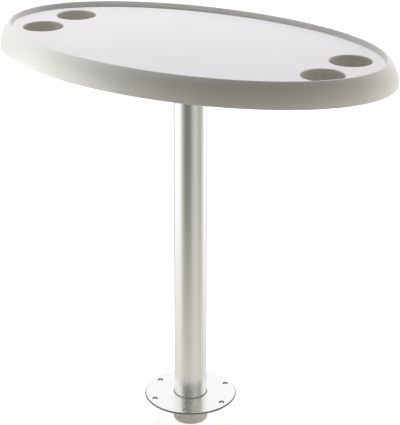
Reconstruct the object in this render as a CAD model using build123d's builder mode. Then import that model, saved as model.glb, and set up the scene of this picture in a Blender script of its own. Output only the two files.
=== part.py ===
from build123d import *
import os
from math import asin, cos, degrees, radians, sin, tan

# Camper table on one plug-in pole: an oval moulded tray, a tube, and a socket let into the floor.
# Millimetres, +Z up, +X along the oval's long side. The origin is on the pole's axis at the floor.

# Oval top
top_length = 762.0
top_width = 457.0
rim_height = 41.6
tray_depth = 9.9
rim_bulge_radius = 57.5
rim_shoulder_radius = 2.2
rim_crest_radius = 2.8
rim_hollow_drop = 5.5
tray_wall_angle = 75.0
moulding_wall = 4.0
bulge_bands = 3
shoulder_bands = 1
crest_bands = 2
lining_bands = 2

# Cup wells in the tray, two at each end
well_end_inset = 97.8
well_pair_spacing = 98.2
well_mouth_radius = 36.0
well_depth = 42.0
well_draft = 2.0
well_wall = 3.0
well_mouth_chamfer = 2.5

# Ribs and bosses under the tray
rib_thickness = 2.6
rib_depth = 14.0
rib_count = 12
rib_end_inset = 36.0
hub_ring_clearance = 2.0
boss_diameter = 13.0
boss_drop = 11.5

# Pole
pole_diameter = 60.0
pole_wall = 2.0
pole_length = 711.0
pole_end_chamfer = 0.6

# Flange and collar under the top
flange_diameter = 170.0
flange_thickness = 5.0
flange_web = 4.0
flange_bolt_circle_diameter = 132.0
collar_wall = 4.0
gusset_thickness = 5.0
gusset_reach = 22.0
gusset_drop = 34.0

# Screws that hold the flange to the top
screw_count = 4
screw_diameter = 4.8
screw_head_diameter = 9.4
screw_length = 13.0
screw_head_height = 3.2

# Swivel bush on the pole's upper end
bush_wall = 2.9
bush_cap = 3.0
bush_lip_thickness = 3.0
bush_lip_reach = 3.0
bush_grip = 52.0

# Floor plate
plate_diameter = 173.0
plate_thickness = 3.2
plate_edge_chamfer = 1.6
plate_bore_gap = 1.1
floor_bolt_circle_diameter = 145.0
floor_hole_count = 6
floor_hole_diameter = 5.5
floor_countersink_diameter = 10.6
floor_hole_turn = -4.0

# Floor socket
socket_flange_diameter = 90.0
socket_flange_thickness = 2.0
socket_wall = 2.1
socket_floor = 3.0
socket_depth = 52.0
socket_edge_chamfer = 2.0

# Fits shared by the pieces
slide_gap = 0.08
swivel_gap = 0.08
lip_gap = 0.4
flange_recess_gap = 0.2
screw_gap = 0.05
pilot_run_out = 2.0
countersink_angle = 90.0

# Levels and radii that follow, from the floor socket up to the tray
pole_radius = pole_diameter / 2
pole_foot = socket_floor - socket_depth
pole_top = pole_foot + pole_length
bush_top = pole_top + bush_cap
bush_bore = pole_radius + slide_gap
bush_radius = bush_bore + bush_wall
collar_bore = bush_radius + swivel_gap
collar_bottom = pole_top - bush_grip
flange_seat = bush_top + flange_web
flange_underside = flange_seat - flange_thickness
flange_radius = flange_diameter / 2
tray_underside = flange_seat + boss_drop
tray_level = tray_underside + moulding_wall
crest_level = tray_level + tray_depth
rim_bottom = crest_level - rim_height
well_floor = tray_level - well_depth
screw_radius = screw_diameter / 2
screw_head_radius = screw_head_diameter / 2
socket_bore = pole_radius + slide_gap
socket_radius = socket_bore + socket_wall
floor_hole_radius = floor_hole_diameter / 2
drafted = tan(radians(well_draft))

os.makedirs("parts", exist_ok=True)


def oval(inset, mode=Mode.ADD):
    """Oval of the top's outline, drawn in from its lower edge."""
    Ellipse(top_length / 2 - inset, top_width / 2 - inset, mode=mode)


def arc_ovals(radius, centre_inset, centre_level, first_turn, last_turn, bands):
    """Insets and levels of the ovals along one arc of the rim's section, turning from outward to inward."""
    turns = [radians(first_turn + (last_turn - first_turn) * band / bands) for band in range(bands + 1)]
    return [(centre_inset - radius * cos(turn), centre_level + radius * sin(turn)) for turn in turns]


def wall_foot(top_of_wall, level):
    """Inset and level of the oval where the leaning tray wall comes down to a level."""
    inset, start = top_of_wall
    return (inset + (start - level) / tan(radians(tray_wall_angle)), level)


def circles_at(builder, level):
    """Round edges that lie at one level."""
    return builder.edges().filter_by(GeomType.CIRCLE).filter_by_position(Axis.Z, level - 0.01, level + 0.01)


# Oval top: a moulded wall that bulges up from its lower edge, turns over a shoulder and a crest,
# and leans down into the tray. Each curve is a run of narrow ruled bands between ovals.
shoulder_turn = degrees(asin((rim_height - rim_shoulder_radius) / (rim_bulge_radius - rim_shoulder_radius)))
crest_inset = rim_bulge_radius - (rim_bulge_radius - rim_shoulder_radius) * cos(radians(shoulder_turn))
crest_turn = 90 + tray_wall_angle
shoulder_centre = crest_level - rim_shoulder_radius
crest_centre = crest_level - rim_crest_radius
bulge = arc_ovals(rim_bulge_radius, rim_bulge_radius, rim_bottom, 0, shoulder_turn, bulge_bands)
shoulder = arc_ovals(rim_shoulder_radius, crest_inset, shoulder_centre, shoulder_turn, 90, shoulder_bands)
crest = arc_ovals(rim_crest_radius, crest_inset, crest_centre, 90, crest_turn, crest_bands)
lining_radius = rim_bulge_radius - moulding_wall
lining_turn = degrees(asin((rim_height - rim_hollow_drop) / lining_radius))
lining = arc_ovals(lining_radius, rim_bulge_radius, rim_bottom, 0, lining_turn, lining_bands)
lining_wall = [lining[-1], wall_foot(lining[-1], tray_underside)]
hub_ring_radius = flange_radius + hub_ring_clearance
well_spacing = top_length - 2 * well_end_inset
well_foot_radius = well_mouth_radius - well_depth * drafted
well_outside_foot = well_floor - well_wall
well_outside_height = tray_underside - well_outside_foot
well_outside_radius = well_foot_radius + well_wall
boss_hole_depth = screw_length - flange_thickness + pilot_run_out

# The hollow under the tray, with the groove inside the rim
with BuildPart() as hollow:
    for inset, level in lining:
        with BuildSketch(Plane.XY.offset(level)):
            oval(inset)
    loft(ruled=True)
    for inset, level in lining_wall:
        with BuildSketch(Plane.XY.offset(level)):
            oval(inset)
    loft(ruled=True, mode=Mode.SUBTRACT)

with BuildPart() as table_top:
    for inset, level in bulge + shoulder[1:]:
        with BuildSketch(Plane.XY.offset(level)):
            oval(inset)
    loft(ruled=True)
    for inset, level in crest + [wall_foot(crest[-1], tray_level)]:
        with BuildSketch(Plane.XY.offset(level)):
            oval(inset)
    loft(ruled=True, mode=Mode.SUBTRACT)
    add(hollow.part, mode=Mode.SUBTRACT)

    # Ribs: spokes from the hub ring to the edge of the panel, and the hub ring
    with BuildSketch(Plane.XY.offset(tray_underside)):
        with PolarLocations(0, rib_count):
            Rectangle(top_length, rib_thickness, align=(Align.MIN, Align.CENTER))
        oval(rib_end_inset, mode=Mode.INTERSECT)
        Circle(hub_ring_radius, mode=Mode.SUBTRACT)
    extrude(amount=-rib_depth)
    with BuildSketch(Plane.XY.offset(tray_underside)):
        Circle(hub_ring_radius + rib_thickness)
        Circle(hub_ring_radius, mode=Mode.SUBTRACT)
    extrude(amount=-rib_depth)

    # Bosses that the flange is screwed to
    with BuildSketch(Plane.XY.offset(tray_underside)):
        with PolarLocations(flange_bolt_circle_diameter / 2, screw_count):
            Circle(boss_diameter / 2)
    extrude(amount=-boss_drop)
    with BuildSketch(Plane.XY.offset(flange_seat)):
        with PolarLocations(flange_bolt_circle_diameter / 2, screw_count):
            Circle(screw_radius + screw_gap)
    extrude(amount=boss_hole_depth, mode=Mode.SUBTRACT)

    # Cup wells with drafted walls
    with Locations(Plane.XY.offset(well_outside_foot)):
        with GridLocations(well_spacing, well_pair_spacing, 2, 2):
            Cone(
                well_outside_radius,
                well_outside_radius + well_outside_height * drafted,
                well_outside_height,
                align=(Align.CENTER, Align.CENTER, Align.MIN),
            )
    with Locations(Plane.XY.offset(well_floor)):
        with GridLocations(well_spacing, well_pair_spacing, 2, 2):
            Cone(
                well_foot_radius,
                well_mouth_radius,
                well_depth,
                align=(Align.CENTER, Align.CENTER, Align.MIN),
                mode=Mode.SUBTRACT,
            )
    with Locations(Plane.XY.offset(tray_level - well_mouth_chamfer)):
        with GridLocations(well_spacing, well_pair_spacing, 2, 2):
            Cone(
                well_mouth_radius - well_mouth_chamfer * drafted,
                well_mouth_radius + well_mouth_chamfer,
                well_mouth_chamfer,
                align=(Align.CENTER, Align.CENTER, Align.MIN),
                mode=Mode.SUBTRACT,
            )

# Flange under the top: a cast plate with a collar, gussets and screw holes
collar_radius = collar_bore + collar_wall
gusset_half_pitch = 180 / screw_count
gusset_turns = [gusset_half_pitch + 360 * index / screw_count for index in range(screw_count)]

with BuildPart() as top_flange:
    with BuildSketch(Plane.XY.offset(flange_underside)):
        Circle(flange_radius)
    extrude(amount=flange_thickness)
    with BuildSketch(Plane.XY.offset(collar_bottom)):
        Circle(collar_radius)
    extrude(amount=flange_underside - collar_bottom)
    with BuildSketch(*[Plane.XZ.rotated((0, 0, turn)) for turn in gusset_turns]):
        with BuildLine():
            Polyline(
                (collar_bore + collar_wall / 2, flange_underside + flange_thickness / 2),
                (collar_radius + gusset_reach, flange_underside + flange_thickness / 2),
                (collar_radius + gusset_reach, flange_underside),
                (collar_radius, flange_underside - gusset_drop),
                (collar_bore + collar_wall / 2, flange_underside - gusset_drop),
                close=True,
            )
        make_face()
    extrude(amount=gusset_thickness / 2, both=True)
    with BuildSketch(Plane.XY.offset(collar_bottom)):
        Circle(collar_bore)
    extrude(amount=bush_top - collar_bottom, mode=Mode.SUBTRACT)
    with BuildSketch(Plane.XY.offset(flange_underside)):
        with PolarLocations(flange_bolt_circle_diameter / 2, screw_count):
            Circle(screw_radius + screw_gap)
    extrude(amount=flange_thickness, mode=Mode.SUBTRACT)

# Flange screws: pan heads under the flange, shanks up into the bosses
with BuildPart() as top_screws:
    with BuildSketch(Plane.XY.offset(flange_underside)):
        with PolarLocations(flange_bolt_circle_diameter / 2, screw_count):
            Circle(screw_head_radius)
    extrude(amount=-screw_head_height)
    with BuildSketch(Plane.XY.offset(flange_underside)):
        with PolarLocations(flange_bolt_circle_diameter / 2, screw_count):
            Circle(screw_radius)
    extrude(amount=screw_length)

# Swivel bush: a cup over the pole's upper end, with a lip under the collar
lip_top = collar_bottom - lip_gap
lip_bottom = lip_top - bush_lip_thickness

with BuildPart() as swivel_bush:
    with BuildSketch(Plane.XY.offset(lip_bottom)):
        Circle(bush_radius + bush_lip_reach)
    extrude(amount=bush_lip_thickness)
    with BuildSketch(Plane.XY.offset(lip_top)):
        Circle(bush_radius)
    extrude(amount=bush_top - lip_top)
    with BuildSketch(Plane.XY.offset(lip_bottom)):
        Circle(bush_bore)
    extrude(amount=pole_top - lip_bottom, mode=Mode.SUBTRACT)

# Pole: a plain drawn tube with deburred ends
with BuildPart() as pole:
    with BuildSketch(Plane.XY.offset(pole_foot)):
        Circle(pole_radius)
        Circle(pole_radius - pole_wall, mode=Mode.SUBTRACT)
    extrude(amount=pole_length)
    for end in (pole_foot, pole_top):
        chamfer(circles_at(pole, end).sort_by(SortBy.RADIUS)[-1], length=pole_end_chamfer)

# Floor plate: a polished disc with a bevelled edge, countersunk holes and a recess below for the socket
with BuildPart() as floor_plate:
    with BuildSketch():
        Circle(plate_diameter / 2)
        Circle(pole_radius + plate_bore_gap, mode=Mode.SUBTRACT)
    extrude(amount=plate_thickness)
    plate_edges = circles_at(floor_plate, plate_thickness).sort_by(SortBy.RADIUS)
    chamfer(plate_edges[-1], length=plate_edge_chamfer)
    with BuildSketch():
        Circle(socket_flange_diameter / 2 + flange_recess_gap)
    extrude(amount=socket_flange_thickness, mode=Mode.SUBTRACT)
    with Locations(Plane.XY.offset(plate_thickness)):
        with PolarLocations(floor_bolt_circle_diameter / 2, floor_hole_count, start_angle=floor_hole_turn):
            CounterSinkHole(
                radius=floor_hole_radius,
                counter_sink_radius=floor_countersink_diameter / 2,
                depth=plate_thickness,
                counter_sink_angle=countersink_angle,
            )

# Floor socket: a moulded cup whose flange lies in the plate's recess, flush with its underside
with BuildPart() as floor_socket:
    with BuildSketch():
        Circle(socket_flange_diameter / 2)
    extrude(amount=socket_flange_thickness)
    with BuildSketch():
        Circle(socket_radius)
    extrude(amount=-socket_depth)
    chamfer(circles_at(floor_socket, -socket_depth), length=socket_edge_chamfer)
    with BuildSketch(Plane.XY.offset(socket_flange_thickness)):
        Circle(socket_bore)
    extrude(amount=pole_foot - socket_flange_thickness, mode=Mode.SUBTRACT)

# One file for each piece
table_top.part.label = "table_top"
export_step(table_top.part, "parts/table_top.step")
top_flange.part.label = "top_flange"
export_step(top_flange.part, "parts/top_flange.step")
top_screws.part.label = "top_screws"
export_step(top_screws.part, "parts/top_screws.step")
swivel_bush.part.label = "swivel_bush"
export_step(swivel_bush.part, "parts/swivel_bush.step")
pole.part.label = "pole"
export_step(pole.part, "parts/pole.step")
floor_plate.part.label = "floor_plate"
export_step(floor_plate.part, "parts/floor_plate.step")
floor_socket.part.label = "floor_socket"
export_step(floor_socket.part, "parts/floor_socket.step")
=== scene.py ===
from math import asin, cos, degrees, hypot, pi, radians, sin, tan

import bmesh
import bpy
from mathutils import Matrix, Vector


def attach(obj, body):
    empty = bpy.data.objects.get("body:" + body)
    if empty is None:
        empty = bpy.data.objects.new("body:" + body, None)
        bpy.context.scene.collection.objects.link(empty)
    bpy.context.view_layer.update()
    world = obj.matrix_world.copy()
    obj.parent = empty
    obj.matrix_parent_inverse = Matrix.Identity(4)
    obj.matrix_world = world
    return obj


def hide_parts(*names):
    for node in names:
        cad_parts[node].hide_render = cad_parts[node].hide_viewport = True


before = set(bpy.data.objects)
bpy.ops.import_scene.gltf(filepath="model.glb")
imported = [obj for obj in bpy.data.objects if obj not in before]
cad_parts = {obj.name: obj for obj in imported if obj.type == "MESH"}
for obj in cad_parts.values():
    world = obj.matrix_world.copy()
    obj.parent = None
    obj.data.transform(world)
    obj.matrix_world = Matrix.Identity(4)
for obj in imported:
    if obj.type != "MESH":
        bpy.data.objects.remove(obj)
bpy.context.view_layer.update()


# Floor socket: a plain moulded cup in warm grey plastic, let into a hole in the floor.
# Its thin flange lies flush in a recess under the floor plate, which holds it down.
socket_cup_radius = 0.03218
socket_bore_radius = 0.03008
socket_flange_radius = 0.045
socket_flange_top = 0.002
socket_base = -0.052
socket_base_round = 0.003
socket_neck_round = 0.001
socket_mouth_round = 0.0005
pole_foot = -0.049
cup_steps = 112
merge_gap = 1e-7
same_place = 2e-6


def made_since(bm, earlier):
    """Corners that aren't among the earlier ones."""
    return [vert for vert in bm.verts if vert not in earlier]


def turned(bm, half_section, steps, centre=(0.0, 0.0), closed=False):
    """Spins a half-section, given as radius and height, round an upright axis."""
    earlier = set(bm.verts)
    ring = [
        bm.verts.new((centre[0] + radius, centre[1], height)) for radius, height in half_section
    ]
    runs = [bm.edges.new(pair) for pair in zip(ring, ring[1:])]
    if closed:
        runs.append(bm.edges.new((ring[-1], ring[0])))
    bmesh.ops.spin(
        bm, geom=ring + runs, cent=(*centre, 0.0), axis=(0, 0, 1),
        angle=2 * pi, steps=steps, use_merge=True,
    )
    bmesh.ops.remove_doubles(bm, verts=made_since(bm, earlier), dist=merge_gap)


def rounded(bm, edges, size, segments):
    """Rounds edges with an even arc."""
    bmesh.ops.bevel(
        bm, geom=edges, offset=size, offset_type="OFFSET", affect="EDGES",
        segments=segments, profile=0.5, material=-1, clamp_overlap=True,
    )


def ease(bm, radius, height, size, segments, centre=(0.0, 0.0)):
    """Rounds the circular edge at one radius and height of a turned shape."""
    def on_ring(vert):
        off = hypot(vert.co.x - centre[0], vert.co.y - centre[1]) - radius
        return abs(off) < same_place and abs(vert.co.z - height) < same_place
    ring = [edge for edge in bm.edges if on_ring(edge.verts[0]) and on_ring(edge.verts[1])]
    rounded(bm, ring, size, segments)


def meshed(bm, name, surface):
    """Turns a modelled shape into an object with its surface."""
    mesh = bpy.data.meshes.new(name)
    bm.to_mesh(mesh)
    bm.free()
    mesh.materials.append(surface)
    made = bpy.data.objects.new(name, mesh)
    bpy.context.scene.collection.objects.link(made)
    return made


def finished(bm, name, body, node, surface):
    """Closes a mesh, gives it its surface and lets it stand for its node."""
    bmesh.ops.remove_doubles(bm, verts=bm.verts[:], dist=merge_gap)
    bmesh.ops.recalc_face_normals(bm, faces=bm.faces[:])
    made = meshed(bm, name, surface)
    made.data.shade_smooth()
    made.data.set_sharp_from_angle(angle=radians(32))
    level = made.modifiers.new("true_flats", "WEIGHTED_NORMAL")
    level.keep_sharp = True
    level.weight = 60
    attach(made, body)
    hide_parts(node)


def surface_of(name, colour, roughness, metallic=0.0):
    """A principled surface with its object coordinates, ready for its own detail."""
    made = bpy.data.materials.new(name)
    made.use_nodes = True
    tree = made.node_tree
    shader = tree.nodes["Principled BSDF"]
    shader.inputs["Base Color"].default_value = (*colour, 1.0)
    shader.inputs["Roughness"].default_value = roughness
    shader.inputs["Metallic"].default_value = metallic
    place = tree.nodes.new("ShaderNodeTexCoord")
    return made, tree, shader, place.outputs["Object"]


def grain(tree, place, scale, detail=2.0, stretch=None):
    """Noise at a scale per metre, drawn out along an axis where stretch is given."""
    if stretch:
        drawn = tree.nodes.new("ShaderNodeMapping")
        drawn.inputs["Scale"].default_value = stretch
        tree.links.new(place, drawn.inputs["Vector"])
        place = drawn.outputs["Vector"]
    made = tree.nodes.new("ShaderNodeTexNoise")
    made.inputs["Scale"].default_value = scale
    made.inputs["Detail"].default_value = detail
    tree.links.new(place, made.inputs["Vector"])
    return made.outputs["Fac"]


def between(tree, value, first, last, low=0.0, high=1.0):
    """Goes from low to high while a value goes from first to last."""
    made = tree.nodes.new("ShaderNodeMapRange")
    made.inputs["From Min"].default_value = first
    made.inputs["From Max"].default_value = last
    made.inputs["To Min"].default_value = low
    made.inputs["To Max"].default_value = high
    tree.links.new(value, made.inputs["Value"])
    return made.outputs["Result"]


def spread(tree, noise, low, high):
    """Maps the middle half of a noise onto the span that a socket needs."""
    return between(tree, noise, 0.25, 0.75, low, high)


def tinted(tree, noise, dark, light):
    """Colour between two close tones, by a noise."""
    made = tree.nodes.new("ShaderNodeValToRGB")
    made.color_ramp.elements[0].position = 0.3
    made.color_ramp.elements[0].color = (*dark, 1.0)
    made.color_ramp.elements[1].position = 0.7
    made.color_ramp.elements[1].color = (*light, 1.0)
    tree.links.new(noise, made.inputs["Fac"])
    return made.outputs["Color"]


def raised(tree, shader, noise, strength, depth):
    """Fine relief from a noise."""
    made = tree.nodes.new("ShaderNodeBump")
    made.inputs["Strength"].default_value = strength
    made.inputs["Distance"].default_value = depth
    tree.links.new(noise, made.inputs["Height"])
    tree.links.new(made.outputs["Normal"], shader.inputs["Normal"])


socket_grey, tree, shader, place = surface_of("socket_grey", (0.78, 0.765, 0.715), 0.62)
cloudy = tinted(tree, grain(tree, place, 28.0, 4.0), (0.76, 0.745, 0.695), (0.80, 0.785, 0.735))
matt = spread(tree, grain(tree, place, 160.0), 0.56, 0.68)
tree.links.new(cloudy, shader.inputs["Base Color"])
tree.links.new(matt, shader.inputs["Roughness"])
raised(tree, shader, grain(tree, place, 1500.0), 0.25, 0.0002)

bm = bmesh.new()
turned(bm, [
    (0.0, socket_base), (socket_cup_radius, socket_base),
    (socket_cup_radius, 0.0), (socket_flange_radius, 0.0),
    (socket_flange_radius, socket_flange_top), (socket_bore_radius, socket_flange_top),
    (socket_bore_radius, pole_foot), (0.0, pole_foot),
], cup_steps)
ease(bm, socket_cup_radius, socket_base, socket_base_round, 6)
ease(bm, socket_cup_radius, 0.0, socket_neck_round, 4)
ease(bm, socket_flange_radius, 0.0, 0.0004, 3)
ease(bm, socket_flange_radius, socket_flange_top, 0.0003, 3)
ease(bm, socket_bore_radius, socket_flange_top, socket_mouth_round, 3)
finished(bm, "socket_cup", "floor_base", "floor_socket", socket_grey)


# Floor plate: a pressed disc of stainless steel, polished to a mirror, with a rounded edge left duller.
# Six countersunk holes take the screws that hold it and the socket to the floor.
plate_radius = 0.0865
plate_top = 0.0032
plate_edge_round = 0.0022
plate_under_ledge = 0.0012
plate_bore_radius = 0.0311
plate_bore_round = 0.0011
plate_bore_ledge = 0.0014
plate_recess_radius = 0.0452
plate_hole_circle = 0.0725
plate_hole_turn = radians(-4)
plate_hole_radius = 0.00275
plate_hole_count = 6
countersink_radius = 0.0053
countersink_bottom = plate_top - countersink_radius + plate_hole_radius
disc_steps = 144
hole_steps = 40
flat_margin = 0.0006


def open_edges(bm, height):
    """Edges of the loops that are still open at one height."""
    return [
        edge for edge in bm.edges
        if edge.is_boundary and all(abs(vert.co.z - height) < same_place for vert in edge.verts)
    ]


def filled(bm, edges, up):
    """Closes loops of edges with one flat, which leaves the loops inside it open."""
    bmesh.ops.triangle_fill(
        bm, use_beauty=True, use_dissolve=False, edges=edges, normal=(0, 0, up),
    )


def patterned(bm, count):
    """Repeats everything made so far at even steps round the pole's axis."""
    bmesh.ops.spin(
        bm, geom=bm.verts[:] + bm.edges[:] + bm.faces[:], cent=(0, 0, 0), axis=(0, 0, 1),
        angle=2 * pi * (count - 1) / count, steps=count - 1, use_duplicate=True,
    )


def level_of(tree, place):
    """Height on a piece."""
    made = tree.nodes.new("ShaderNodeSeparateXYZ")
    tree.links.new(place, made.inputs["Vector"])
    return made.outputs["Z"]


def blended(tree, amount, first, second):
    """Goes from one colour to another by an amount, each a plain tone or another node's colour."""
    made = tree.nodes.new("ShaderNodeMix")
    made.data_type = "RGBA"
    tree.links.new(amount, made.inputs["Factor"])
    for name, tone in (("A", first), ("B", second)):
        if isinstance(tone, tuple):
            made.inputs[name].default_value = (*tone, 1.0)
        else:
            tree.links.new(tone, made.inputs[name])
    return made.outputs["Result"]


mirror_steel, tree, shader, place = surface_of("mirror_steel", (0.95, 0.95, 0.945), 0.24, 1.0)
level = level_of(tree, place)
# Cut faces of the edge, bore and holes: a duller, darker steel, with painted shade darkest low down.
cut = between(tree, level, plate_top - 0.00001, plate_top - 0.0001)
painted_shade_low_on_cut = between(tree, level, 0.0016, 0.0011)
wiped = tinted(tree, grain(tree, place, 35.0, 5.0), (0.93, 0.93, 0.925), (0.965, 0.965, 0.96))
cut_tone_with_painted_shade = blended(tree, painted_shade_low_on_cut, (0.16, 0.16, 0.157), (0.52, 0.52, 0.51))
tree.links.new(blended(tree, cut, wiped, cut_tone_with_painted_shade), shader.inputs["Base Color"])
polish = spread(tree, grain(tree, place, 60.0, 6.0), 0.22, 0.26)
edge_polish = tree.nodes.new("ShaderNodeMix")
edge_polish.inputs["B"].default_value = 0.34
tree.links.new(cut, edge_polish.inputs["Factor"])
tree.links.new(polish, edge_polish.inputs["A"])
tree.links.new(edge_polish.outputs["Result"], shader.inputs["Roughness"])
raised(tree, shader, grain(tree, place, 90.0), 0.006, 0.0004)

bm = bmesh.new()
hole = (plate_hole_circle * cos(plate_hole_turn), plate_hole_circle * sin(plate_hole_turn))
turned(bm, [
    (countersink_radius + flat_margin, plate_top), (countersink_radius, plate_top),
    (plate_hole_radius, countersink_bottom), (plate_hole_radius, 0.0),
    (plate_hole_radius + flat_margin, 0.0),
], hole_steps, hole)
ease(bm, countersink_radius, plate_top, 0.0002, 2, hole)
patterned(bm, plate_hole_count)
turned(bm, [
    (plate_radius - plate_edge_round - flat_margin, plate_top), (plate_radius, plate_top),
    (plate_radius, 0.0), (plate_radius - plate_under_ledge, 0.0),
], disc_steps)
ease(bm, plate_radius, plate_top, plate_edge_round, 8)
ease(bm, plate_radius, 0.0, 0.0004, 3)
turned(bm, [
    (plate_bore_radius + plate_bore_ledge, plate_top), (plate_bore_radius, plate_top),
    (plate_bore_radius, socket_flange_top), (plate_recess_radius, socket_flange_top),
    (plate_recess_radius, 0.0), (plate_recess_radius + flat_margin, 0.0),
], cup_steps)
ease(bm, plate_bore_radius, plate_top, plate_bore_round, 5)
filled(bm, open_edges(bm, plate_top), 1)
filled(bm, open_edges(bm, 0.0), -1)
finished(bm, "polished_plate", "floor_base", "floor_plate", mirror_steel)


# Pole: a drawn aluminium tube, 60 mm across with a 2 mm wall, anodised to a satin sheen.
# Both ends are deburred, and it plugs into the socket below and the swivel bush above.
# Plugging it in has dulled its foot a little.
pole_radius = 0.030
pole_bore_radius = 0.028
pole_top = 0.662
pole_steps = 160
scuff_top = 0.055
scuff_full = 0.012

satin_tube, tree, shader, place = surface_of("satin_tube", (0.88, 0.88, 0.87), 0.2, 1.0)
drawn_lines = grain(tree, place, 1.0, 3.0, (900.0, 900.0, 4.0))
anodised = tinted(tree, drawn_lines, (0.85, 0.85, 0.84), (0.905, 0.905, 0.895))
tree.links.new(anodised, shader.inputs["Base Color"])
scuffed = between(tree, level_of(tree, place), scuff_top, scuff_full, 0.0, 0.07)
sheen = tree.nodes.new("ShaderNodeMath")
sheen.operation = "ADD"
tree.links.new(spread(tree, drawn_lines, 0.19, 0.24), sheen.inputs[0])
tree.links.new(scuffed, sheen.inputs[1])
tree.links.new(sheen.outputs["Value"], shader.inputs["Roughness"])
raised(tree, shader, grain(tree, place, 1.0, 2.0, (1600.0, 1600.0, 6.0)), 0.04, 0.0001)

bm = bmesh.new()
turned(bm, [
    (pole_bore_radius, pole_foot), (pole_radius, pole_foot),
    (pole_radius, pole_top), (pole_bore_radius, pole_top),
], pole_steps, closed=True)
for end in (pole_foot, pole_top):
    ease(bm, pole_radius, end, 0.0006, 3)
    ease(bm, pole_bore_radius, end, 0.0003, 2)
finished(bm, "satin_pole", "pole", "pole", satin_tube)


# Swivel bush: a cup of natural nylon pressed over the pole's upper end.
# The flange's collar turns on it, and its lip stands just under the collar.
bush_radius = 0.03298
bush_bore_radius = 0.03008
bush_lip_radius = 0.03598
bush_top = 0.665
lip_top = 0.6096
lip_bottom = 0.6066

nylon, tree, shader, place = surface_of("nylon", (0.74, 0.72, 0.65), 0.4)
milky = tinted(tree, grain(tree, place, 40.0, 3.0), (0.71, 0.69, 0.615), (0.77, 0.755, 0.69))
waxy = spread(tree, grain(tree, place, 300.0), 0.34, 0.48)
tree.links.new(milky, shader.inputs["Base Color"])
tree.links.new(waxy, shader.inputs["Roughness"])
raised(tree, shader, grain(tree, place, 1200.0), 0.12, 0.0002)
shader.inputs["Subsurface Weight"].default_value = 0.08
shader.inputs["Subsurface Radius"].default_value = (0.004, 0.003, 0.002)

bm = bmesh.new()
turned(bm, [
    (0.0, bush_top), (bush_radius, bush_top), (bush_radius, lip_top), (bush_lip_radius, lip_top),
    (bush_lip_radius, lip_bottom), (bush_bore_radius, lip_bottom),
    (bush_bore_radius, pole_top), (0.0, pole_top),
], cup_steps)
ease(bm, bush_radius, bush_top, 0.0008, 3)
ease(bm, bush_lip_radius, lip_top, 0.0004, 3)
ease(bm, bush_lip_radius, lip_bottom, 0.0006, 3)
ease(bm, bush_bore_radius, lip_bottom, 0.0008, 3)
finished(bm, "bush_cup", "bush", "swivel_bush", nylon)


# Flange: an aluminium casting screwed up against the bosses of the top.
# Its collar drops over the swivel bush, with four gussets between collar and plate.
flange_radius = 0.085
flange_seat = 0.669
flange_under = 0.664
flange_under_round = 0.0015
flange_seat_round = 0.0004
collar_radius = 0.03706
collar_bore_radius = 0.03306
collar_bottom = 0.610
collar_fillet = 0.004
flange_hole_circle = 0.066
flange_hole_radius = 0.00245
flange_screw_count = 4
gusset_reach = 0.022
gusset_drop = 0.034
gusset_thickness = 0.005
gusset_bite = 0.002
gusset_round = 0.0014


def corners_of(made):
    """The corners among what an operator made."""
    return [item for item in made if isinstance(item, bmesh.types.BMVert)]


cast_metal, tree, shader, place = surface_of("cast_metal", (0.52, 0.53, 0.54), 0.5, 1.0)
sandy = grain(tree, place, 220.0, 5.0)
as_cast = tinted(tree, sandy, (0.45, 0.46, 0.47), (0.58, 0.59, 0.60))
tree.links.new(as_cast, shader.inputs["Base Color"])
dull = spread(tree, grain(tree, place, 90.0, 4.0), 0.42, 0.6)
tree.links.new(dull, shader.inputs["Roughness"])
raised(tree, shader, sandy, 0.35, 0.0004)

bm = bmesh.new()
gusset_outline = [
    (collar_radius - gusset_bite, flange_under + gusset_bite),
    (collar_radius + gusset_reach, flange_under + gusset_bite),
    (collar_radius + gusset_reach, flange_under),
    (collar_radius, flange_under - gusset_drop),
    (collar_radius - gusset_bite, flange_under - gusset_drop),
]
side = bm.faces.new([
    bm.verts.new((out, -gusset_thickness / 2, height)) for out, height in gusset_outline
])
pushed = bmesh.ops.extrude_face_region(bm, geom=[side], use_keep_orig=True)["geom"]
bmesh.ops.translate(bm, verts=corners_of(pushed), vec=(0, gusset_thickness, 0))
slopes = [
    edge for edge in bm.edges
    if all(vert.co.z < flange_under + gusset_bite / 2 for vert in edge.verts)
    and abs(edge.verts[0].co.x - edge.verts[1].co.x) > gusset_reach / 2
]
rounded(bm, slopes, gusset_round, 4)
bmesh.ops.rotate(bm, verts=bm.verts[:], cent=(0, 0, 0), matrix=Matrix.Rotation(pi / 4, 3, "Z"))
turned(bm, [
    (flange_hole_radius + flat_margin, flange_under), (flange_hole_radius, flange_under),
    (flange_hole_radius, flange_seat), (flange_hole_radius + flat_margin, flange_seat),
], 28, (flange_hole_circle, 0.0))
patterned(bm, flange_screw_count)
turned(bm, [
    (flange_radius - flange_under_round - flat_margin, flange_under), (flange_radius, flange_under),
    (flange_radius, flange_seat), (flange_radius - flange_seat_round - flat_margin, flange_seat),
], disc_steps)
ease(bm, flange_radius, flange_under, flange_under_round, 5)
ease(bm, flange_radius, flange_seat, flange_seat_round, 2)
turned(bm, [
    (collar_radius + collar_fillet + flat_margin, flange_under), (collar_radius, flange_under),
    (collar_radius, collar_bottom), (collar_bore_radius, collar_bottom),
    (collar_bore_radius, bush_top), (0.0, bush_top),
], cup_steps)
ease(bm, collar_radius, flange_under, collar_fillet, 6)
ease(bm, collar_radius, collar_bottom, 0.0008, 3)
ease(bm, collar_bore_radius, collar_bottom, 0.0005, 3)
filled(bm, open_edges(bm, flange_under), -1)
filled(bm, open_edges(bm, flange_seat), 1)
finished(bm, "cast_flange", "top", "top_flange", cast_metal)


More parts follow.
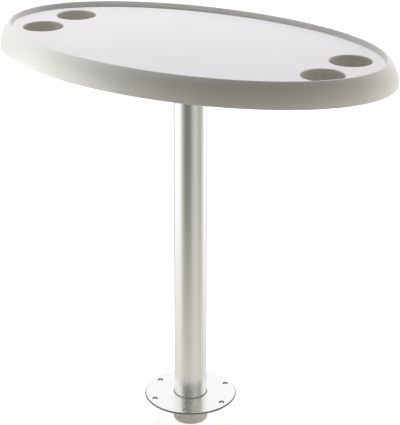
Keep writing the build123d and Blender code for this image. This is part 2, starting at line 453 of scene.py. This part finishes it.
# Flange screws: four stainless pan-head screws with a cross recess.
# They cut their own thread in the bosses of the moulding.
screw_head_radius = 0.0047
screw_head_top = 0.6608
screw_head_side = 0.0016
head_shoulder_radius = 0.0040
head_shoulder = screw_head_top + 0.0004
head_flat_radius = 0.0030
head_round = 0.0006
screw_radius = 0.0024
screw_point = 0.677
screw_tip_radius = 0.0013
screw_taper = 0.0016
recess_arm = 0.0021
recess_half_width = 0.00055
recess_depth = 0.0016
recess_narrowing = 0.75

bright_steel, tree, shader, place = surface_of("bright_steel", (0.66, 0.66, 0.67), 0.26, 1.0)
handled = tinted(tree, grain(tree, place, 500.0, 3.0), (0.61, 0.61, 0.62), (0.71, 0.71, 0.72))
shiny = spread(tree, grain(tree, place, 900.0), 0.2, 0.34)
tree.links.new(handled, shader.inputs["Base Color"])
tree.links.new(shiny, shader.inputs["Roughness"])

bm = bmesh.new()
turned(bm, [
    (0.0, screw_point), (screw_tip_radius, screw_point),
    (screw_radius, screw_point - screw_taper), (screw_radius, flange_under),
    (screw_head_radius, flange_under), (screw_head_radius, flange_under - screw_head_side),
    (head_shoulder_radius, head_shoulder), (head_flat_radius, screw_head_top),
], hole_steps)
ease(bm, screw_head_radius, flange_under - screw_head_side, head_round, 4)
ease(bm, head_shoulder_radius, head_shoulder, head_round, 3)
recess_rim = []
for arm in range(4):
    arm_turn = Matrix.Rotation(arm * pi / 2, 3, "Z")
    for out, across in ((recess_arm, -recess_half_width), (recess_arm, recess_half_width),
                        (recess_half_width, recess_half_width)):
        recess_rim.append(bm.verts.new(arm_turn @ Vector((out, across, screw_head_top))))
recess_lips = [bm.edges.new(pair) for pair in zip(recess_rim, recess_rim[1:] + recess_rim[:1])]
filled(bm, recess_lips + open_edges(bm, screw_head_top), -1)
recess_floor = corners_of(bmesh.ops.extrude_edge_only(bm, edges=recess_lips)["geom"])
bmesh.ops.scale(bm, verts=recess_floor, vec=(recess_narrowing, recess_narrowing, 1.0))
bmesh.ops.translate(bm, verts=recess_floor, vec=(0, 0, recess_depth))
filled(bm, [edge for edge in bm.edges if all(vert in recess_floor for vert in edge.verts)], -1)
bmesh.ops.translate(bm, verts=bm.verts[:], vec=(flange_hole_circle, 0, 0))
patterned(bm, flange_screw_count)
finished(bm, "pan_screws", "top", "top_screws", bright_steel)


# Oval top: one injection moulding in off-white ABS with a lightly grained satin face.
# The hollow rim rolls over into a shallow tray, four drafted wells take cups, and ribs stiffen it below.
# The insides of the wells are painted darker and warmer, as painted shade.
top_half_length = 0.381
top_half_width = 0.2285
rim_bottom = 0.6528
crest = 0.6944
tray = 0.6845
tray_under = 0.6805
bulge_radius = 0.0575
shoulder_radius = 0.0022
crest_radius = 0.0028
hollow_drop = 0.0055
wall_lean = 75.0
wall = 0.004
lower_edge = 0.0012
tray_foot_radius = 0.0016
lip_steps = 5
lining_start = 2.0
well_centres = [(x, y) for x in (-0.2832, 0.2832) for y in (-0.0491, 0.0491)]
well_mouth = 0.036
well_mouth_round = 0.0025
well_foot_round = 0.006
well_neck_round = 0.001
well_floor = 0.6425
well_wall = 0.003
well_draft = tan(radians(2))
well_foot = well_mouth - (tray - well_floor) * well_draft
well_outside_foot = well_foot + well_wall
well_outside_base = well_floor - well_wall
well_outside_top = well_outside_foot + (tray_under - well_outside_base) * well_draft
well_steps = 96
# Where the painted shade in the wells begins and where it is full
well_shade_middle = (*well_centres[-1], tray - 0.025)
well_shade_from = 0.0440
well_shade_full = 0.0405
oval_steps = 288


def bend(radius, centre_inset, centre_level, first, last, steps):
    """Insets and levels along one arc of the rim's section, from outward over the top to inward."""
    turns = [radians(first + (last - first) * step / steps) for step in range(steps + 1)]
    return [
        (centre_inset - radius * cos(turn), centre_level + radius * sin(turn)) for turn in turns
    ]


def skinned(bm, rows):
    """Lays an oval at the first inset and level and draws its edge on through each of the others."""
    circle = bmesh.ops.create_circle(bm, cap_ends=False, radius=1.0, segments=oval_steps)
    drawn = set(circle["verts"])
    length, width = 1.0, 1.0
    for number, (inset, level) in enumerate(rows):
        if number:
            drawn = set(corners_of(bmesh.ops.extrude_edge_only(bm, edges=rim)["geom"]))
        touching = {edge for vert in drawn for edge in vert.link_edges}
        rim = [edge for edge in touching if drawn.issuperset(edge.verts)]
        next_length, next_width = top_half_length - inset, top_half_width - inset
        grown = (next_length / length, next_width / width, 1.0)
        bmesh.ops.scale(bm, verts=list(drawn), vec=grown)
        length, width = next_length, next_width
        for vert in drawn:
            vert.co.z = level


abs_white, tree, shader, place = surface_of("abs_white", (0.775, 0.765, 0.715), 0.42)
plain_tone = tinted(tree, grain(tree, place, 9.0, 3.0), (0.765, 0.755, 0.703), (0.785, 0.776, 0.727))
# Painted shade in the wells: darker, warmer tones towards each well's middle.
painted_well_shade = tinted(tree, grain(tree, place, 60.0, 4.0), (0.65, 0.632, 0.56), (0.71, 0.695, 0.625))
quarter = tree.nodes.new("ShaderNodeVectorMath")
quarter.operation = "ABSOLUTE"
tree.links.new(place, quarter.inputs[0])
from_well = tree.nodes.new("ShaderNodeVectorMath")
from_well.operation = "DISTANCE"
from_well.inputs[1].default_value = well_shade_middle
tree.links.new(quarter.outputs["Vector"], from_well.inputs[0])
well_shade_mask = between(tree, from_well.outputs["Value"], well_shade_from, well_shade_full)
tree.links.new(blended(tree, well_shade_mask, plain_tone, painted_well_shade), shader.inputs["Base Color"])
satin = spread(tree, grain(tree, place, 140.0, 4.0), 0.36, 0.48)
tree.links.new(satin, shader.inputs["Roughness"])
raised(tree, shader, grain(tree, place, 1400.0, 2.0), 0.1, 0.0002)

shoulder_rise = (crest - rim_bottom - shoulder_radius) / (bulge_radius - shoulder_radius)
shoulder_turn = degrees(asin(shoulder_rise))
crest_inset = bulge_radius - (bulge_radius - shoulder_radius) * cos(radians(shoulder_turn))
first_turn = degrees(asin(lower_edge / bulge_radius))
outside = bend(lower_edge, lower_edge, rim_bottom + lower_edge, -90, 0, lip_steps)
outside += bend(bulge_radius, bulge_radius, rim_bottom, first_turn, shoulder_turn, 18)
outside += bend(shoulder_radius, crest_inset, crest - shoulder_radius, shoulder_turn, 90, 8)[1:]
outside += bend(crest_radius, crest_inset, crest - crest_radius, 90, 90 + wall_lean, 12)[1:]
lean = radians(wall_lean)
wall_inset, wall_level = outside[-1]
foot_top = tray + tray_foot_radius * (1 - cos(lean))
foot_centre = wall_inset + (wall_level - foot_top) / tan(lean) + tray_foot_radius * sin(lean)
for step in range(lip_steps + 1):
    turn = lean * (1 - step / lip_steps)
    foot_level = tray + tray_foot_radius * (1 - cos(turn))
    outside.append((foot_centre - tray_foot_radius * sin(turn), foot_level))
outside.append((foot_centre + flat_margin, tray))

lining = []
for step in range(lip_steps + 1):
    turn = step * pi / 2 / lip_steps
    lip_inset = wall - lower_edge + lower_edge * sin(turn)
    lining.append((lip_inset, rim_bottom + lower_edge * (1 - cos(turn))))
lining_turn = degrees(asin((crest - rim_bottom - hollow_drop) / (bulge_radius - wall)))
lining += bend(bulge_radius - wall, bulge_radius, rim_bottom, lining_start, lining_turn, 12)
lining.append((lining[-1][0] + (lining[-1][1] - tray_under) / tan(lean), tray_under))
lining.append((lining[-1][0] + flat_margin, tray_under))

# Ribs, hub ring and screw bosses on the moulding's underside
rib_bottom = 0.6665
rib_half = 0.0013
rib_root = tray_under + 0.001
rib_end_inset = 0.036
rib_count = 12
rib_round = 0.0007
hub_ring_radius = 0.087
hub_ring_outside = hub_ring_radius + 2 * rib_half
boss_radius = 0.0065
boss_draft = 0.0004
pilot_top = 0.679

bm = bmesh.new()
turned(bm, [
    (0.0, rib_root), (boss_radius + boss_draft, rib_root), (boss_radius, flange_seat),
    (flange_hole_radius, flange_seat), (flange_hole_radius, pilot_top), (0.0, pilot_top),
], hole_steps, (flange_hole_circle, 0.0))
patterned(bm, flange_screw_count)
turned(bm, [
    (hub_ring_radius, rib_root), (hub_ring_radius, rib_bottom),
    (hub_ring_outside, rib_bottom), (hub_ring_outside, rib_root),
], disc_steps, closed=True)
for ring_side in (hub_ring_radius, hub_ring_outside):
    ease(bm, ring_side, rib_bottom, 0.0006, 3)
for number in range(rib_count):
    turn = number * 2 * pi / rib_count
    along = cos(turn) / (top_half_length - rib_end_inset)
    across = sin(turn) / (top_half_width - rib_end_inset)
    rib_end = 1 / hypot(along, across)
    rib_start = hub_ring_radius + rib_half
    rib_middle = ((rib_end + rib_start) / 2, 0, (rib_root + rib_bottom) / 2)
    earlier = set(bm.verts)
    rib = bmesh.ops.create_cube(bm, size=1.0)["verts"]
    rib_size = (rib_end - rib_start, 2 * rib_half, rib_root - rib_bottom)
    bmesh.ops.scale(bm, verts=rib, vec=rib_size)
    bmesh.ops.translate(bm, verts=rib, vec=rib_middle)
    rib_edges = {edge for vert in rib for edge in vert.link_edges}
    soft = [
        edge for edge in rib_edges
        if all(vert.co.z < rib_bottom + rib_half for vert in edge.verts)
    ]
    soft += [
        edge for edge in rib_edges - set(soft)
        if all(vert.co.x > rib_end - rib_half for vert in edge.verts)
        and abs(edge.verts[0].co.z - edge.verts[1].co.z) > rib_half
    ]
    rounded(bm, soft, rib_round, 3)
    round_pole = Matrix.Rotation(turn, 3, "Z")
    bmesh.ops.rotate(bm, verts=made_since(bm, earlier), cent=(0, 0, 0), matrix=round_pole)

# Wells: the drafted cup inside and its wall below, made once and set at the four places
earlier = set(bm.verts)
turned(bm, [
    (well_mouth + well_mouth_round + flat_margin, tray), (well_mouth, tray),
    (well_foot, well_floor), (0.0, well_floor),
], well_steps)
ease(bm, well_mouth, tray, well_mouth_round, 8)
ease(bm, well_foot, well_floor, well_foot_round, 8)
turned(bm, [
    (well_outside_top + well_neck_round + flat_margin, tray_under), (well_outside_top, tray_under),
    (well_outside_foot, well_outside_base), (0.0, well_outside_base),
], well_steps)
ease(bm, well_outside_top, tray_under, well_neck_round, 3)
ease(bm, well_outside_foot, well_outside_base, well_foot_round, 8)
well = made_since(bm, earlier)
well_edges = {edge for vert in well for edge in vert.link_edges}
well_faces = {face for vert in well for face in vert.link_faces}
for x, y in well_centres[1:]:
    copied = bmesh.ops.duplicate(bm, geom=well + list(well_edges) + list(well_faces))["geom"]
    bmesh.ops.translate(bm, verts=corners_of(copied), vec=(x, y, 0))
bmesh.ops.translate(bm, verts=well, vec=(*well_centres[0], 0))
skinned(bm, list(reversed(lining)) + outside)
filled(bm, open_edges(bm, tray), 1)
filled(bm, open_edges(bm, tray_under), -1)
finished(bm, "moulded_top", "top", "table_top", abs_white)


# Studio: a pale floor under the socket and a white room, with a glowing card round it that only gloss
# sees, which paints reflections.
# Large soft lamps stand high behind, at both sides and low in front, and small ones with grids light
# the left end and the foot. The floor keeps the shadow.
floor_level = socket_base - 0.0004
floor_reach = 9.0
to_camera = Vector((0.5424, -0.8401, 0.0))
to_right = Vector((0.8401, 0.5424, 0.0))
up = Vector((0.0, 0.0, 1.0))


def seen_directly(tree):
    """One for camera, glossy and transmission rays, nought for the rays that carry light."""
    path = tree.nodes.new("ShaderNodeLightPath")
    seen = path.outputs["Is Camera Ray"]
    for ray in ("Is Glossy Ray", "Is Transmission Ray"):
        either = tree.nodes.new("ShaderNodeMath")
        either.operation = "MAXIMUM"
        tree.links.new(seen, either.inputs[0])
        tree.links.new(path.outputs[ray], either.inputs[1])
        seen = either.outputs[0]
    return seen


def chosen(tree, factor, first, second):
    """The first shader where a factor is nought, the second where it is one."""
    made = tree.nodes.new("ShaderNodeMixShader")
    tree.links.new(factor, made.inputs["Fac"])
    tree.links.new(first, made.inputs[1])
    tree.links.new(second, made.inputs[2])
    return made.outputs["Shader"]


def bare_paint(name):
    """A material that starts from its output alone, with its object coordinates."""
    made = bpy.data.materials.new(name)
    made.use_nodes = True
    tree = made.node_tree
    tree.nodes.remove(tree.nodes["Principled BSDF"])
    place = tree.nodes.new("ShaderNodeTexCoord")
    return made, tree, place.outputs["Object"]


def reach_of(tree, place):
    """Distance from the middle of the floor."""
    made = tree.nodes.new("ShaderNodeVectorMath")
    made.operation = "LENGTH"
    tree.links.new(place, made.inputs[0])
    return made.outputs["Value"]


room = bpy.data.worlds.new("white_room")
bpy.context.scene.world = room
room.use_nodes = True
tree = room.node_tree
white = tree.nodes.new("ShaderNodeBackground")
white.inputs["Color"].default_value = (1.0, 1.0, 1.0, 1.0)
white.inputs["Strength"].default_value = 1.0
dim = tree.nodes["Background"]
dim.inputs["Color"].default_value = (1.0, 0.965, 0.86, 1.0)
dim.inputs["Strength"].default_value = 0.05
sky = chosen(tree, seen_directly(tree), dim.outputs["Background"], white.outputs["Background"])
tree.links.new(sky, tree.nodes["World Output"].inputs["Surface"])

pale_floor, tree, place = bare_paint("pale_floor")
paper = tree.nodes.new("ShaderNodeBsdfDiffuse")
paper.inputs["Color"].default_value = (0.80, 0.80, 0.79, 1.0)
bright = tree.nodes.new("ShaderNodeEmission")
bright.inputs["Color"].default_value = (1.0, 1.0, 1.0, 1.0)
whiter = between(tree, reach_of(tree, place), 0.4, 1.6, 0.72, 1.0)
tree.links.new(whiter, bright.inputs["Strength"])
lifted = tree.nodes.new("ShaderNodeAddShader")
tree.links.new(paper.outputs["BSDF"], lifted.inputs[0])
tree.links.new(bright.outputs["Emission"], lifted.inputs[1])
shown = chosen(tree, seen_directly(tree), paper.outputs["BSDF"], lifted.outputs["Shader"])
clear = tree.nodes.new("ShaderNodeBsdfTransparent")
facing = tree.nodes.new("ShaderNodeNewGeometry")
one_sided = chosen(tree, facing.outputs["Backfacing"], shown, clear.outputs["BSDF"])
tree.links.new(one_sided, tree.nodes["Material Output"].inputs["Surface"])

bm = bmesh.new()
bmesh.ops.create_grid(bm, x_segments=1, y_segments=1, size=floor_reach)
bmesh.ops.translate(bm, verts=bm.verts[:], vec=(0, 0, floor_level))
studio_floor = meshed(bm, "studio_floor", pale_floor)
studio_floor.visible_glossy = False

# Glowing card that only gloss sees, on the floor and round the room, painting reflections by the turn to
# the left
# or right of the camera: dark in front and behind, mid grey to the right and white at the sides, with a
# warm tint where it is dim
card_radius = 3.4
card_height = 3.0
card_level = floor_level - 0.0002
card_opening = 0.6
card_turn = radians(90 + 57.15)
painted_reflection_tones = [
    (-180, 0.18), (-160, 0.24), (-146, 0.52), (-134, 1.2), (-80, 1.2), (-64, 0.84),
    (-56, 0.60), (-48, 0.40), (-36, 0.24), (-26, 0.215), (-6, 0.215), (2, 0.30),
    (14, 0.52), (24, 0.62), (43, 0.67), (54, 0.53), (64, 0.48), (76, 0.49),
    (88, 0.74), (104, 1.18), (132, 1.18), (146, 0.8), (160, 0.5), (180, 0.35),
]
dim_tint = (1.0, 0.985, 0.91)

# Painted reflections: the card glows in these tones for gloss rays alone.
painted_reflection_glow, tree, place = bare_paint("painted_reflection_glow")
aimed = tree.nodes.new("ShaderNodeMapping")
aimed.vector_type = "POINT"
aimed.inputs["Rotation"].default_value = (0.0, 0.0, card_turn)
tree.links.new(place, aimed.inputs["Vector"])
parts = tree.nodes.new("ShaderNodeSeparateXYZ")
tree.links.new(aimed.outputs["Vector"], parts.inputs["Vector"])
angle = tree.nodes.new("ShaderNodeMath")
angle.operation = "ARCTAN2"
tree.links.new(parts.outputs["X"], angle.inputs[0])
tree.links.new(parts.outputs["Y"], angle.inputs[1])
dial = between(tree, angle.outputs["Value"], pi, -pi)
stripes = tree.nodes.new("ShaderNodeValToRGB")
stripes.color_ramp.elements[0].position = 0.0
stripes.color_ramp.elements[1].position = 1.0
for turn, tone in painted_reflection_tones[1:-1]:
    stripes.color_ramp.elements.new((turn + 180) / 360)
for element, (turn, tone) in zip(stripes.color_ramp.elements, painted_reflection_tones):
    tint = (1.0, 1.0, 1.0) if tone > 1 else dim_tint
    element.color = (*[tone * share for share in tint], 1.0)
tree.links.new(dial, stripes.inputs["Fac"])
far = between(tree, reach_of(tree, place), -0.07, 1.33)
faded = blended(tree, far, (0.73, 0.712, 0.65), stripes.outputs["Color"])
upright = between(tree, parts.outputs["Z"], 0.0, 0.05)
wall_tone = tree.nodes.new("ShaderNodeGamma")
tree.links.new(faded, wall_tone.inputs["Color"])
tree.links.new(between(tree, upright, 0.0, 1.0, 1.0, 1.35), wall_tone.inputs["Gamma"])
glow = tree.nodes.new("ShaderNodeEmission")
tree.links.new(wall_tone.outputs["Color"], glow.inputs["Color"])
tree.links.new(between(tree, upright, 0.0, 1.0, 1.0, 0.8), glow.inputs["Strength"])
tree.links.new(glow.outputs["Emission"], tree.nodes["Material Output"].inputs["Surface"])

bm = bmesh.new()
bmesh.ops.create_circle(bm, cap_ends=True, radius=card_radius, segments=96)
bmesh.ops.translate(bm, verts=bm.verts[:], vec=(0, 0, card_level))
card_edge = [edge for edge in bm.edges if edge.is_boundary]
card_wall_top = corners_of(bmesh.ops.extrude_edge_only(bm, edges=card_edge)["geom"])
bmesh.ops.translate(bm, verts=card_wall_top, vec=(0, 0, card_height))
open_back = [
    face for face in bm.faces
    if len(face.verts) == 4 and face.calc_center_median().dot(to_camera) < -card_opening
]
bmesh.ops.delete(bm, geom=open_back, context="FACES")
glowing_reflection_card = meshed(bm, "glowing_reflection_card", painted_reflection_glow)
glowing_reflection_card.visible_camera = False
glowing_reflection_card.visible_diffuse = False
glowing_reflection_card.visible_transmission = False
glowing_reflection_card.visible_shadow = False

# Lamps, which neither the camera nor gloss sees
table_level = (0, 0, 0.66)
left_end = -0.276 * to_right + 0.045 * to_camera + 0.672 * up


def soft_lamp(name, at, aim, width, height, watts, colour, beam=180):
    """A soft rectangular lamp turned towards a point, with a grid on it where the beam is narrow."""
    lamp = bpy.data.lights.new(name, "AREA")
    lamp.shape = "RECTANGLE"
    lamp.size = width
    lamp.size_y = height
    lamp.energy = watts
    lamp.color = colour
    lamp.spread = radians(beam)
    made = bpy.data.objects.new(name, lamp)
    bpy.context.scene.collection.objects.link(made)
    made.location = at
    made.rotation_mode = "QUATERNION"
    made.rotation_quaternion = (Vector(aim) - Vector(at)).to_track_quat("-Z", "Y")
    made.visible_camera = False
    made.visible_glossy = False


soft_lamp(
    "lamp_behind", -1.77 * to_camera + 3.2 * up, (0, 0, 0.68),
    2.2, 0.9, 121.0, (0.90, 0.89, 1.0),
)
soft_lamp(
    "lamp_left", -0.95 * to_right + 0.08 * to_camera + 0.69 * up, table_level,
    0.8, 0.8, 2.85, (1.0, 0.995, 1.0),
)
soft_lamp(
    "lamp_end", left_end - 0.655 * to_right + 0.459 * to_camera - 0.075 * up, left_end,
    0.3, 0.3, 0.222, (0.965, 0.975, 1.0), 33,
)
soft_lamp(
    "lamp_right", 1.1 * to_right + 0.05 * to_camera + 0.68 * up, table_level,
    0.9, 0.8, 5.0, (1.0, 0.995, 1.0),
)
soft_lamp(
    "lamp_foot", 0.4 * to_camera - 1.0 * to_right, (0, 0, -0.03),
    0.3, 0.06, 0.018, (1.0, 0.98, 0.95), 20,
)
soft_lamp(
    "lamp_low", 1.75 * to_camera + 0.75 * to_right + 0.15 * up, (0, 0, 0.5),
    2.2, 0.5, 8.8, (1.0, 0.93, 0.80),
)


# Camera: the photograph's place and angle, found from the outline of the top, the pole and the plate.
# It stands in front at the right, about 2.7 m away, and looks down by 22 degrees.
camera_at = Vector((1.2831, -1.9873, 1.3255))
camera_pitch = radians(22.019)
camera_turn = radians(32.433)
camera_roll = radians(0.143)
focal_pixels = 1412.63
frame_height = 425.0

lens = bpy.data.cameras.new("photo_camera")
lens.sensor_fit = "AUTO"
lens.sensor_width = 36.0
lens.lens = focal_pixels / frame_height * lens.sensor_width
lens.clip_start = 0.05
lens.clip_end = 60.0
photo_camera = bpy.data.objects.new("photo_camera", lens)
bpy.context.scene.collection.objects.link(photo_camera)
ahead = Vector((
    -sin(camera_turn) * cos(camera_pitch), cos(camera_turn) * cos(camera_pitch), -sin(camera_pitch),
))
level_right = ahead.cross(up).normalized()
level_up = level_right.cross(ahead)
rolled_right = cos(camera_roll) * level_right + sin(camera_roll) * level_up
rolled_up = -sin(camera_roll) * level_right + cos(camera_roll) * level_up
stand = Matrix((rolled_right, rolled_up, -ahead)).transposed().to_4x4()
stand.translation = camera_at
photo_camera.matrix_world = stand
bpy.context.scene.camera = photo_camera
bpy.context.scene.view_settings.view_transform = "Standard"
